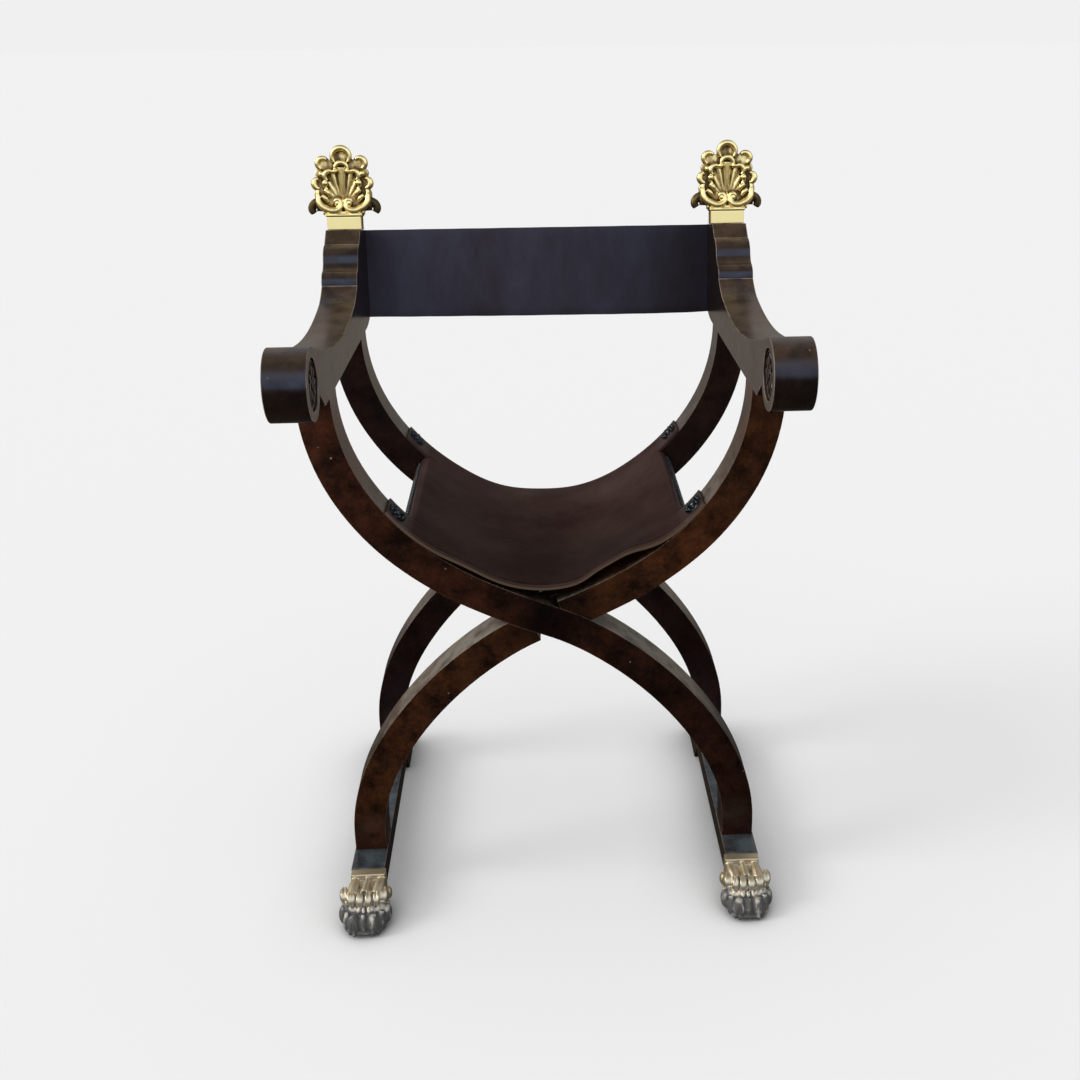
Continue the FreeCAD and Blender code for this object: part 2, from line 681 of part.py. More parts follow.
def centre_bar():
    """The round rail between the pairs; its journals are the pivot of the fold."""
    parts = []
    reach = "Sizes.leg_thick / 2 + Sizes.pivot_depth"
    for name, radius, start, length in (
        ("journal", "Sizes.pivot_diameter / 2", "Sizes.leg_thick / 2 - Sizes.pivot_depth",
         "Sizes.pair_gap + 2 * (" + reach + ")"),
        ("barrel", "Sizes.bar_diameter / 2", "Sizes.leg_thick + Sizes.bar_gap",
         "Sizes.pair_gap - Sizes.bar_gap"),
    ):
        turned_part = doc.addObject("Part::Cylinder", name)
        turned_part.setExpression("Radius", radius)
        turned_part.setExpression("Height", length)
        turned_part.Placement = Placement(Vector(0, 0, 0), Rotation(Vector(1, 0, 0), -90))
        turned_part.setExpression("Placement.Base.y", "Sizes.front_face + " + start)
        turned_part.setExpression("Placement.Base.z", "Sizes.cross_height")
        parts.append(turned_part)
    bar = doc.addObject("Part::Fuse", "centre_stretcher")
    bar.Label = "centre_stretcher"
    bar.Base, bar.Tool = parts
    return bar


# Lobes of the shell as shares of its half width and height, with a radius as a share of the half width.
LOBE_SHARES = [
    (0, 0.84, 0.33), (0.57, 0.74, 0.28), (-0.57, 0.74, 0.28), (0.74, 0.45, 0.26), (-0.74, 0.45, 0.26),
    (0.62, 0.22, 0.22), (-0.62, 0.22, 0.22), (0, 0.48, 0.72), (0, 0.2, 0.5),
]
EAR_SHARE = 0.13
FLUTE_ANGLES = (-64, -32, 0, 32, 64)


def finial(label, side):
    """A cast shell on a square block: lobed plate, fluted fan, two scrolled ears and a bore for the stud."""
    half = size("shell_half")
    high = size("shell_high")
    block_high = size("block_high")
    wide = size("block_wide")
    deep = size("block_deep")
    thick = size("shell_thick")
    relief = size("shell_relief")
    front = (deep - thick) / 2
    back = Vector(0, 1, 0)
    body = Part.makeBox(wide, deep, block_high, Vector(-wide / 2, 0, 0))
    pieces = [
        Part.makeCylinder(share[2] * half, thick, Vector(share[0] * half, front, block_high + share[1] * high), back)
        for share in LOBE_SHARES
    ]
    curl = EAR_SHARE * half
    pieces.append(Part.makeBox(2 * half - 2 * curl, thick + relief, 1.4 * curl,
                               Vector(curl - half, front - relief / 2, block_high)))
    for way in (-1, 1):
        pieces.append(Part.makeCylinder(curl, thick + relief,
                                        Vector(way * (half - 0.6 * curl), front - relief / 2, block_high + curl), back))
    root = Vector(0, front, block_high + 0.2 * high)
    for angle in FLUTE_ANGLES:
        toward = Vector(math.sin(math.radians(angle)), 0, math.cos(math.radians(angle)))
        pieces.append(Part.makeCone(relief / 3, relief * 0.8, 0.62 * half, root + toward * (0.14 * half), toward))
    body = body.multiFuse(pieces).removeSplitter()
    stud = size("stud_diameter") / 2 + size("joint_clearance")
    long = size("stud_long") / 2 + size("joint_clearance")
    body = body.cut(Part.makeCylinder(stud, long + overrun, Vector(0, deep / 2, -overrun)))
    place = Placement(
        Vector(side * (arm_centre - size("block_inset")), size("front_face") + post_front, arm_seat + post_rise),
        Rotation(Vector(1, 0, 0), -size("post_rake")),
    )
    return shaped(label, body, place)


def stud(label, side):
    """The stud that holds a finial on its post."""
    made = doc.addObject("Part::Cylinder", label)
    made.Label = label
    made.setExpression("Radius", "Sizes.stud_diameter / 2")
    made.setExpression("Height", "Sizes.stud_long")
    foot = raked(size("block_deep") / 2, -size("stud_long") / 2)
    made.Placement = Placement(
        Vector(side * (arm_centre - size("block_inset")), size("front_face") + foot.x, foot.y),
        Rotation(Vector(1, 0, 0), -size("post_rake")),
    )
    return made


# Side view of the paw's core as shares of its length and height, from the collar to the claws.
PAW_SHARES = [(0, 0), (0, 1), (0.14, 0.98), (0.32, 0.82), (0.7, 0.62), (0.86, 0.4), (0.9, 0.14), (0.86, 0)]
TOE_SHARES = [(-1, 0.12), (-0.5, 0.03), (0, 0), (0.5, 0.03), (1, 0.12)]


def paw(label, side):
    """A cast lion's paw over the runner's front end: collar, five knuckles and five toes."""
    wide = size("paw_wide")
    long = size("paw_long")
    high = size("runner_top")
    toe = size("toe_radius")
    knuckle = size("knuckle_radius")
    centre = side * (foot_reach - size("paw_inset"))
    start = -size("runner_front")
    core = wide - knuckle
    outline = [Vector(centre - core / 2, start - s * long, t * high) for s, t in PAW_SHARES]
    body = Part.Face(Part.makePolygon(outline + outline[:1])).extrude(Vector(core, 0, 0))
    pieces = []
    for share, set_back in TOE_SHARES:
        tip = start - long + toe + set_back * long
        pieces.append(Part.makeSphere(toe, Vector(centre + share * (wide / 2 - toe), tip, toe)))
        joint = tip + toe + knuckle / 2
        pieces.append(Part.makeSphere(knuckle, Vector(centre + share * (wide / 2 - knuckle), joint, high - 1.7 * knuckle)))
    body = body.multiFuse(pieces).removeSplitter()
    gap = size("joint_clearance")
    tongue_wide = size("tongue_wide") + 2 * gap
    tongue_high = size("tongue_high") + 2 * gap
    long_cut = size("toe_tongue") + gap + overrun
    socket = Part.makeBox(
        tongue_wide, long_cut, tongue_high,
        Vector(side * foot_reach - tongue_wide / 2, start - size("toe_tongue") - gap,
               high - size("tongue_low") - tongue_high / 2),
    )
    return shaped(label, body.cut(socket))


pieces = list(legs.values())
for name, side in (("left", -1), ("right", 1)):
    pieces.append(arm(name + "_arm", side))
    pieces.append(rosette(name + "_rosette", side))
    pieces.append(runner(name + "_runner", side))
    pieces.append(paw(name + "_paw", side))
    pieces.append(seat_rail(name + "_seat_rail", side))
    pieces.append(rail_nails(name + "_rail_nails", side))
    pieces.append(ear_bosses(name + "_ear_bosses", side))
    pieces.append(back_nails(name + "_back_nails", side))
    pieces.append(finial(name + "_finial", side))
    pieces.append(stud(name + "_finial_stud", side))
pieces.append(sling())
pieces.append(back_strap())
pieces.append(centre_bar())
doc.recompute()

for made in doc.Objects:
    assert "Invalid" not in made.State and "Error" not in made.State, (made.Name, made.State)
for made in pieces:
    assert not made.Shape.isNull() and made.Shape.isValid() and made.Shape.Volume > 0, made.Label
os.makedirs("parts", exist_ok=True)
box = FreeCAD.BoundBox()
for made in pieces:
    made.Shape.exportStep(os.path.join("parts", made.Label + ".step"))
    box.add(made.Shape.BoundBox)
    print(made.Label, len(made.Shape.Solids), "solids", round(made.Shape.Volume), "mm3")
print("size", [round(v, 2) for v in (box.XMin, box.XMax, box.YMin, box.YMax, box.ZMin, box.ZMax)])
print("arm underside %.1f, leg top at %.1f, leg foot at %.1f" % (arm_seat, top_reach, foot_reach))
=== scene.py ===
import math

import bmesh
import bpy
from mathutils import Matrix, Vector


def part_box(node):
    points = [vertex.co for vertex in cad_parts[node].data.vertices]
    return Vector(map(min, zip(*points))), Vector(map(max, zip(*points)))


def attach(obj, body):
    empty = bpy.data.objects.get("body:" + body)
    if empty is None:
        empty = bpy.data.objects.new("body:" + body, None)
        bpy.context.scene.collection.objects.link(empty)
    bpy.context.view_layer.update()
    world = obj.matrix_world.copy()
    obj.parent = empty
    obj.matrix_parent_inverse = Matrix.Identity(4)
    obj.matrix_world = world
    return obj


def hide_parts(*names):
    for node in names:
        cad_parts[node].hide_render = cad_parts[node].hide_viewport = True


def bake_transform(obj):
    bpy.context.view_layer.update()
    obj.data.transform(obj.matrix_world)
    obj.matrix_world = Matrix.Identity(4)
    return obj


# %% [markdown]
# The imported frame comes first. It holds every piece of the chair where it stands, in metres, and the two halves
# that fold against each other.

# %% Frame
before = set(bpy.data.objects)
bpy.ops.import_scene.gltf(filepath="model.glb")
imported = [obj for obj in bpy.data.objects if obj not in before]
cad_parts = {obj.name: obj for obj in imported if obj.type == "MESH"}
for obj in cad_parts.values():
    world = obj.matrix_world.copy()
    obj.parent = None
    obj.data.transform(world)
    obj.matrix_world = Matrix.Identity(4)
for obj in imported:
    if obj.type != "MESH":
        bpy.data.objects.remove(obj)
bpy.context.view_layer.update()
LEFT = "left_arm_half"
RIGHT = "right_arm_half"
MM = 0.001
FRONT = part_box("front_member_a")[0].y
CROSSING = (0, 0, 0.3752)
print("pieces", len(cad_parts), "front face at", round(FRONT, 4))


def placed(name, data):
    """A new object in the scene that shows some data."""
    made = bpy.data.objects.new(name, data)
    bpy.context.scene.collection.objects.link(made)
    return made


# %% [markdown]
# The camera stands where the photographer stood: a little above the arms, looking down at the seat, with the
# chair slightly left of the lens axis. Its three angles turn into three directions, which make its matrix.

# %% Camera
PITCH, YAW, ROLL = (math.radians(angle) for angle in (22.32, 3.097, -0.5046))
EYE = Vector((-0.00284, FRONT - 1.41576, 1.04797))
look = Vector((math.sin(YAW) * math.cos(PITCH), math.cos(YAW) * math.cos(PITCH), -math.sin(PITCH)))
level = Vector((math.cos(YAW), -math.sin(YAW), 0))
above = level.cross(look)
across = level * math.cos(ROLL) + above * math.sin(ROLL)
upward = above * math.cos(ROLL) - level * math.sin(ROLL)
lens = bpy.data.cameras.new("photo_camera")
lens.sensor_width = 36
lens.lens = 42.966
lens.shift_x = -0.0642
lens.shift_y = 0.00925
lens.clip_end = 200
camera = placed("photo_camera", lens)
camera.matrix_world = Matrix((across, upward, -look)).transposed().to_4x4()
camera.matrix_world.translation = EYE
bpy.context.scene.camera = camera
print("camera at", [round(v, 3) for v in camera.matrix_world.translation])

# %% [markdown]
# Looks are built from shader nodes. One helper makes any node with its settings, values and links. The others
# name what comes back again and again: a sum or a product, a mix, a ramp, a noise and a change of range.

# %% Node helpers


def node(tree, kind, values=(), **settings):
    """A node of a kind, with settings, and with values or links on named sockets."""
    made = tree.nodes.new("ShaderNode" + kind)
    for name, value in settings.items():
        setattr(made, name, value)
    for name, value in dict(values).items():
        if isinstance(value, bpy.types.NodeSocket):
            tree.links.new(value, made.inputs[name])
        else:
            made.inputs[name].default_value = value
    return made


def reckoned(tree, operation, *values):
    """The number that a maths node makes of its values."""
    return node(tree, "Math", dict(enumerate(values)), operation=operation).outputs[0]


def steered(tree, operation, *values):
    """What a vector maths node makes of its values: a number where it measures, else a vector."""
    made = node(tree, "VectorMath", dict(enumerate(values)), operation=operation)
    return made.outputs["Value" if operation in ("LENGTH", "DISTANCE", "DOT_PRODUCT") else "Vector"]


def product(tree, first, second):
    """Two numbers multiplied."""
    return reckoned(tree, "MULTIPLY", first, second)


def mixed(tree, factor, first, second, blend="MIX"):
    """Two colours mixed by a factor."""
    values = {0: factor, 6: first, 7: second}
    return node(tree, "Mix", values, data_type="RGBA", blend_type=blend).outputs[2]


def toned(tree, colour, tone):
    """A colour multiplied by a tone."""
    return mixed(tree, 1.0, colour, tone, "MULTIPLY")


def ramp(tree, factor, stops):
    """A colour ramp fed by a factor; stops are (place, grey or colour)."""
    made = node(tree, "ValToRGB", {"Fac": factor})
    while len(made.color_ramp.elements) < len(stops):
        made.color_ramp.elements.new(0.5)
    for stop, (place, colour) in zip(made.color_ramp.elements, stops):
        stop.position = place
        stop.color = (colour, colour, colour, 1) if isinstance(colour, float) else (*colour, 1)
    return made.outputs["Color"]


def noise(tree, place, scale, detail, roughness=0.5):
    """A cloudy pattern between nought and one."""
    values = {"Vector": place, "Scale": scale, "Detail": detail, "Roughness": roughness}
    return node(tree, "TexNoise", values).outputs["Fac"]


def ranged(tree, value, source=(0.0, 1.0), target=(0.0, 1.0)):
    """A value carried from a source range to a target range, and held inside it."""
    ends = dict(zip(("From Min", "From Max", "To Min", "To Max"), (*source, *target)))
    return node(tree, "MapRange", {"Value": value, **ends}).outputs[0]


# %% [markdown]
# The studio is a pale floor under an evenly bright sky. A broad sun from the left throws the soft shadow. The
# floor also glows with a painted light, and near the chair that glow is dimmed into a painted contact shadow.
# The sky's level, the sun's strength and the glow are chosen so that the lit floor and the sky look the same,
# and no horizon shows.
#
# Polished wood and brass show what stands round them, and the chair stood in front of a wide window in a darker
# room. So what the polish mirrors is told apart from what lights the chair: mirrored rays meet a bluish window
# on the photographer's side, a brownish wall at the rear, a dim ceiling above and a dark floor close to the chair.

# %% Studio sky
SKY = (0.87, 0.87, 0.87, 1)
WINDOW = (0.46, 0.6, 0.93)
CEILING = (0.1, 0.09, 0.08)
ROOM_LEVEL = 2.4

bpy.context.scene.view_settings.view_transform = "Standard"
sky = bpy.data.worlds.new("studio")
sky.use_nodes = True
tree = sky.node_tree
way = node(tree, "SeparateXYZ", {"Vector": node(tree, "TexCoord").outputs["Generated"]}).outputs
window = ramp(tree, way["Z"], [(0.0, 0.13), (0.08, 0.3), (0.17, WINDOW), (0.7, WINDOW), (0.88, CEILING)])
wall = ramp(tree, way["Z"], [(0.0, 0.1), (0.2, (0.15, 0.135, 0.12)), (0.5, (0.21, 0.185, 0.165)),
                             (0.62, (0.2, 0.27, 0.36)), (0.95, CEILING)])
mirror = mixed(tree, ranged(tree, way["Y"], (-0.3, 0.3)), window, wall)
room = node(tree, "VectorMath", {0: mirror, "Scale": ROOM_LEVEL}, operation="SCALE").outputs[0]
ray = node(tree, "LightPath").outputs
lean = ranged(tree, way["X"], (-1.0, 1.0), (1.4, 0.5))
plain = mixed(tree, ray["Is Camera Ray"], lean, SKY)
tree.links.new(mixed(tree, ray["Is Glossy Ray"], plain, room), tree.nodes["Background"].inputs["Color"])
bpy.context.scene.world = sky
print("sky nodes", len(tree.nodes))

# %% Studio sun and floor
SUN_STRENGTH = 1.7
SUN_ANGLE = 24
SUN_WAY = (0.8, 0.15, -0.5)
FLOOR_GREY = (0.424, 0.424, 0.424, 1)
FLOOR_GLOW = 0.362
DARK_NEAR = (0.05, 0.045, 0.04, 1)
DARK_FRONT = (0.06, 0.055, 0.05, 1)
DARK_REAR = (0.22, 0.19, 0.165, 1)

light = bpy.data.lights.new("key_sun", "SUN")
light.energy = SUN_STRENGTH
light.angle = math.radians(SUN_ANGLE)
lamp = placed("key_sun", light)
lamp.rotation_euler = Vector(SUN_WAY).to_track_quat("-Z", "Y").to_euler()

bm = bmesh.new()
bmesh.ops.create_circle(bm, cap_ends=True, cap_tris=False, segments=96, radius=60)
floor_mesh = bpy.data.meshes.new("floor")
bm.to_mesh(floor_mesh)
bm.free()
floor = placed("floor", floor_mesh)
paper = bpy.data.materials.new("floor_paper")
paper.use_nodes = True
tree = paper.node_tree
surface = tree.nodes["Principled BSDF"].inputs
surface["Roughness"].default_value = 0.9
surface["Specular IOR Level"].default_value = 0.0
surface["Emission Strength"].default_value = 1
spot = node(tree, "TexCoord").outputs["Object"]
far = ranged(tree, steered(tree, "LENGTH", spot), (0.75, 1.5))
depth = node(tree, "SeparateXYZ", {"Vector": spot}).outputs["Y"]
beyond = mixed(tree, ranged(tree, depth, (-0.4, 0.4)), DARK_FRONT, DARK_REAR)
mirrored = node(tree, "LightPath").outputs["Is Glossy Ray"]
seen = mixed(tree, mirrored, FLOOR_GREY, mixed(tree, far, DARK_NEAR, beyond))
tree.links.new(seen, surface["Base Color"])
# The floor's glow is a painted light; ambient occlusion dims it near the chair into a painted contact shadow.
touch = node(tree, "AmbientOcclusion", {"Distance": 0.12}, samples=8).outputs["AO"]
glow = ramp(tree, touch, [(0.46, 0.0), (0.95, FLOOR_GLOW)])
tree.links.new(mixed(tree, mirrored, glow, (0, 0, 0, 1)), surface["Emission Color"])
floor_mesh.materials.append(paper)
print("studio ready")

# %% [markdown]
# A finish that several pieces share is a group of nodes with named sockets. One helper makes such a group, one
# sends its results out, and one makes a material that wears it with values of its own.

# %% Finish helpers
# What a finish can give: the kind of its socket, and the input of the Principled shader that takes it.
GIFTS = {
    "Color": ("Color", "Base Color"),
    "Roughness": ("Float", "Roughness"),
    "Normal": ("Vector", "Normal"),
    "Shine": ("Float", "Specular IOR Level"),
    "Metal": ("Float", "Metallic"),
}


def group(name, inputs, outputs):
    """An empty shader group with starting values on its inputs, and the sockets inside it."""
    made = bpy.data.node_groups.new(name, "ShaderNodeTree")
    for label, start in inputs.items():
        kind = "Float" if isinstance(start, float) else "Vector" if len(start) == 3 else "Color"
        socket = made.interface.new_socket(label, in_out="INPUT", socket_type="NodeSocket" + kind)
        socket.default_value = start
    for label in outputs:
        made.interface.new_socket(label, in_out="OUTPUT", socket_type="NodeSocket" + GIFTS[label][0])
    return made, made.nodes.new("NodeGroupInput").outputs, made.nodes.new("NodeGroupOutput").inputs


def sent(tree, gives, **results):
    """Links the results of a group to its outputs."""
    for label, result in results.items():
        tree.links.new(result, gives[label])
    print(tree.name, "has", len(tree.nodes), "nodes")


def coated(name, finish, **values):
    """A material whose Principled shader wears a finish, with its own values on the finish."""
    made = bpy.data.materials.new(name)
    made.use_nodes = True
    tree = made.node_tree
    coat = node(tree, "Group", node_tree=finish)
    for label, value in values.items():
        socket = coat.inputs[label]
        socket.default_value = (*value, 1) if socket.type == "RGBA" else value
    for output in coat.outputs:
        tree.links.new(output, tree.nodes["Principled BSDF"].inputs[GIFTS[output.name][1]])
    return made


# %% [markdown]
# Old French-polished wood is dark where the stain sits and warmer where hands and brooms have rubbed it. One
# group makes that: broad and fine mottling, pores drawn out along the board, a few pale nicks, a paler film on
# faces that look up, which is dust and wax and also a painted sheen of the light from above, and a darker tone
# round the crossing. The edges are known by an attribute that the boards carry on their rounded arrises, and
# they are painted lighter, as rubbed wear and as a painted highlight. Polish sets how much of the shine is left,
# and a direction sets where the tone grows paler.

# %% Polished wood group
polish, takes, gives = group(
    "polished_wood",
    {
        "Stain": (0.012, 0.007, 0.006, 1), "Warm": (0.07, 0.03, 0.018, 1), "Dust": (0.1, 0.09, 0.075, 1),
        "Stretch": (1, 0.5, 1), "Rubbing": 0.5, "Nicks": 0.5, "Joint": (0, 0, -9), "Polish": 1.0,
        "Fading": (0, 0, 0),
    },
    ("Color", "Roughness", "Normal", "Shine"),
)
place = node(polish, "TexCoord").outputs["Object"]
along = steered(polish, "MULTIPLY", place, takes["Stretch"])
cloud = noise(polish, along, 34.0, 8.0, 0.7)
pores = noise(polish, along, 260.0, 3.0, 0.6)
uneven = noise(polish, place, 48.0, 4.0)
patchy = ramp(polish, uneven, [(0.35, 0.25), (0.6, 1.0)])

# The stain with its mottling, a darker tone round the crossing, the paling and the dark pores.
mottle = ramp(polish, cloud, [(0.36, 0.0), (0.66, 1.0)])
body = mixed(polish, mottle, takes["Stain"], takes["Warm"])
body = toned(polish, body, ramp(polish, noise(polish, place, 5.0, 2.0), [(0.36, 0.7), (0.64, 1.2)]))
gap = steered(polish, "DISTANCE", steered(polish, "MULTIPLY", place, (1, 0, 1)), takes["Joint"])
body = toned(polish, body, ranged(polish, gap, (0.012, 0.07), (0.2, 1.0)))
faded = reckoned(polish, "ADD", steered(polish, "DOT_PRODUCT", place, takes["Fading"]), 1.0)
body = toned(polish, body, faded)
body = toned(polish, body, ramp(polish, pores, [(0.35, 0.72), (0.6, 1.0)]))

# The film of dust and painted sheen lies on faces that look up, as light from above would, but not in corners.
normal = node(polish, "NewGeometry").outputs["Normal"]
facing_up = node(polish, "SeparateXYZ", {"Vector": normal}).outputs["Z"]
film = product(polish, ranged(polish, facing_up, (0.25, 0.9)), patchy)
open_air = node(polish, "AmbientOcclusion", {"Distance": 0.05}, samples=6).outputs["AO"]
film = product(polish, film, ramp(polish, open_air, [(0.3, 0.0), (0.6, 1.0)]))
body = mixed(polish, film, body, takes["Dust"])

# The edges, painted lighter as rubbed wear and as a highlight, and the seldom nicks.
arris = node(polish, "Attribute", attribute_name="arris").outputs["Fac"]
rub = product(polish, product(polish, arris, patchy), takes["Rubbing"])
body = mixed(polish, rub, body, (0.26, 0.19, 0.14, 1))
spots = node(polish, "TexVoronoi", {"Vector": place, "Scale": 75.0}).outputs["Distance"]
small = ramp(polish, spots, [(0.07, 1.0), (0.1, 0.0)])
seldom = ramp(polish, noise(polish, place, 21.0, 1.0), [(0.62, 0.0), (0.68, 1.0)])
nick = product(polish, product(polish, small, seldom), takes["Nicks"])
body = mixed(polish, nick, body, (0.3, 0.24, 0.19, 1))

gloss = ranged(polish, cloud, target=(0.15, 0.32))
shine = product(polish, ranged(polish, uneven, (0.35, 0.65), (0.44, 0.26)), takes["Polish"])
bump = node(polish, "Bump", {"Strength": 0.12, "Distance": 0.0006, "Height": pores}).outputs["Normal"]
sent(polish, gives, Color=body, Roughness=gloss, Normal=bump, Shine=shine)

# %% Woods
# The legs' film on their top faces is dust and a painted sheen of the light from above.
LEG_DUST = (0.17, 0.15, 0.12)
dark_leg = coated("dark_leg", polish, Stain=(0.005, 0.0017, 0.001), Warm=(0.029, 0.0078, 0.0028), Dust=LEG_DUST,
                  Rubbing=0.85, Nicks=0.8, Joint=CROSSING, Polish=0.6, Fading=(-1.6, 0, 0.5))
warm_leg = coated("warm_leg", polish, Stain=(0.0075, 0.0026, 0.0012), Warm=(0.058, 0.0175, 0.0042),
                  Dust=LEG_DUST, Rubbing=0.85, Nicks=0.8, Joint=CROSSING, Polish=0.6)
# The rear legs wear a darker copy of the leg wood: painted shade, for they stand behind the front legs and under
# the seat.
rear_wood = coated("rear_wood", polish, Stain=(0.005, 0.002, 0.0015), Warm=(0.02, 0.006, 0.003),
                   Dust=(0.12, 0.1, 0.08), Rubbing=0.6, Nicks=0.4, Joint=CROSSING)
arm_wood = coated("arm_wood", polish, Stain=(0.005, 0.0025, 0.002), Warm=(0.013, 0.0055, 0.003),
                  Dust=(0.052, 0.033, 0.021), Rubbing=0.6, Nicks=0.3)
# The runners' film is bluish grey, a painted reflection on their top faces.
runner_wood = coated("runner_wood", polish, Stain=(0.006, 0.004, 0.003), Warm=(0.02, 0.01, 0.006),
                     Dust=(0.052, 0.064, 0.072), Rubbing=0.5, Nicks=0.4)
print("woods ready")

# %% [markdown]
# The brass pieces are castings, rubbed bright where a cloth reaches, brown where it seldom does and nearly black
# in the hollows. Ambient occlusion over a few millimetres finds the hollows, an attribute tells how far a place
# is sunk behind the casting's front, and the same mask makes the hollows rough. Dull brass is rougher all over,
# and where it isn't clean it looks like dirt and no longer like metal.

# %% Brass group
patina, takes, gives = group(
    "rubbed_brass",
    {
        "Bright": (0.78, 0.6, 0.28, 1), "Brown": (0.3, 0.19, 0.07, 1), "Dark": (0.03, 0.022, 0.012, 1),
        "Depth": 0.004, "Grime": 0.5, "Dull": 0.0,
    },
    ("Color", "Roughness", "Normal", "Metal"),
)
place = node(patina, "TexCoord").outputs["Object"]
open_air = node(patina, "AmbientOcclusion", {"Distance": takes["Depth"]}, samples=8).outputs["AO"]
sunk = node(patina, "Attribute", attribute_name="sunk").outputs["Fac"]
open_air = reckoned(patina, "MULTIPLY_ADD", sunk, -0.62, open_air)
stain = noise(patina, steered(patina, "MULTIPLY", place, (1, 1, 0.45)), 110.0, 5.0)
reach = reckoned(patina, "ADD", open_air, ranged(patina, stain, (0.3, 0.7), (-0.3, 0.3)))
reach = reckoned(patina, "SUBTRACT", reach, takes["Grime"])
clean = ramp(patina, reach, [(0.2, 0.0), (0.5, 1.0)])
tone = mixed(patina, ramp(patina, reach, [(0.0, 0.0), (0.25, 1.0)]), takes["Dark"], takes["Brown"])
tone = mixed(patina, clean, tone, takes["Bright"])
rough = reckoned(patina, "ADD", ranged(patina, clean, target=(0.55, 0.3)), takes["Dull"])
dents = node(patina, "Bump", {"Strength": 0.25, "Distance": 0.0005, "Height": stain}).outputs["Normal"]
least = reckoned(patina, "MULTIPLY_ADD", takes["Dull"], -3.0, 1.0)
metal = ranged(patina, clean, target=(least, 1.0))
sent(patina, gives, Color=tone, Roughness=rough, Normal=dents, Metal=metal)

# %% Brasses
finial_brass = coated("finial_brass", patina, Bright=(1.0, 0.73, 0.26), Brown=(0.42, 0.245, 0.075),
                      Dark=(0.09, 0.055, 0.017), Depth=0.006, Grime=0.14, Dull=0.03)
paw_brass = coated("paw_brass", patina, Bright=(0.68, 0.54, 0.32), Brown=(0.42, 0.39, 0.33),
                   Dark=(0.09, 0.084, 0.073), Depth=0.007, Grime=0.18, Dull=0.2)
nail_bronze = coated("nail_bronze", patina, Bright=(0.045, 0.05, 0.045), Brown=(0.02, 0.02, 0.018),
                     Dark=(0.008, 0.008, 0.008), Depth=0.003, Grime=0.3)
print("brass ready")

# %% [markdown]
# Saddle leather has a fine pebbled grain, slow changes of tone where it was rubbed, and a paler rim that is worn
# and also painted with a highlight. A Voronoi pattern gives the pebbles as height only, noise gives the tone. The
# seat is matt in the middle, where it is sat on, and keeps some polish at the ends, where it bends over the rails.
# A direction sets where the tone grows paler, across, in depth and, with its third part, from the middle to both
# sides; on the seat and the strap this paling is painted light and shade, and the strap's paler tone is a bluish
# painted reflection.

# %% Leather group
hide, takes, gives = group(
    "saddle_leather",
    {
        "Deep": (0.02, 0.012, 0.01, 1), "Rubbed": (0.05, 0.03, 0.024, 1), "Grain": 420.0, "Relief": 0.2,
        "Middle": 0.1, "Ends": 0.1, "Fading": (0, 0, 0),
    },
    ("Color", "Roughness", "Normal", "Shine"),
)
place = node(hide, "TexCoord").outputs["Object"]
slow = noise(hide, steered(hide, "MULTIPLY", place, (1, 1, 0.4)), 8.0, 6.0, 0.66)
# The paler tone is rubbed wear on the seat and a painted sheen on the strap.
skin = mixed(hide, ramp(hide, slow, [(0.35, 0.0), (0.68, 1.0)]), takes["Deep"], takes["Rubbed"])
parts = node(hide, "SeparateXYZ", {"Vector": place}).outputs
side = reckoned(hide, "ABSOLUTE", parts["X"])
where = node(hide, "CombineXYZ", {"X": parts["X"], "Y": parts["Y"], "Z": side}).outputs[0]
faded = reckoned(hide, "ADD", steered(hide, "DOT_PRODUCT", where, takes["Fading"]), 1.0)
skin = toned(hide, skin, faded)
# The rim is paler from wear and from a painted highlight along the cut edge.
rim = node(hide, "Attribute", attribute_name="arris").outputs["Fac"]
skin = mixed(hide, rim, skin, (0.13, 0.088, 0.06, 1))
shine = ranged(hide, side, (0.158, 0.17), (takes["Middle"], takes["Ends"]))
gloss = ranged(hide, slow, target=(0.34, 0.5))
pebble = node(hide, "TexVoronoi", {"Vector": place, "Scale": takes["Grain"]}).outputs["Distance"]
height = reckoned(hide, "ADD", pebble, noise(hide, place, 120.0, 4.0))
grain = {"Strength": takes["Relief"], "Distance": 0.0006, "Height": height}
sent(hide, gives, Color=skin, Roughness=gloss, Normal=node(hide, "Bump", grain).outputs["Normal"], Shine=shine)

# %% Leathers
# The seat's paling is painted light and shade: paler to the sides and the rear, darker at the front of its sagging
# middle.
seat_hide = coated("seat_hide", hide, Deep=(0.0165, 0.0068, 0.0054), Rubbed=(0.036, 0.0205, 0.0175),
                   Grain=420.0, Relief=0.2, Middle=0.015, Ends=0.15, Fading=(0.5, 1.7, 2.6))
# The strap's paler tone is bluish, a painted reflection of the window, and its paling paints that sheen: paler on
# the left, darkest on the right.
back_hide = coated("back_hide", hide, Deep=(0.023, 0.0165, 0.019), Rubbed=(0.041, 0.041, 0.062),
                   Grain=500.0, Relief=0.12, Middle=0.06, Ends=0.06, Fading=(-1.3, 0, -0.6))
print("leather ready")

# %% [markdown]
# The legs, arms, runners and rails are already right in the frame, but their arrises are knife sharp, and real
# ones are rounded by the polisher and catch a thin line of light. Each board is copied, its loose triangles are
# merged and joined into flat faces, and its sharp edges get a small bevel. The bevel's faces carry an attribute
# that the finish reads, so that the arrises look rubbed and carry a painted highlight. The copy then stands for
# the frame's own board.

# %% Finishing a piece


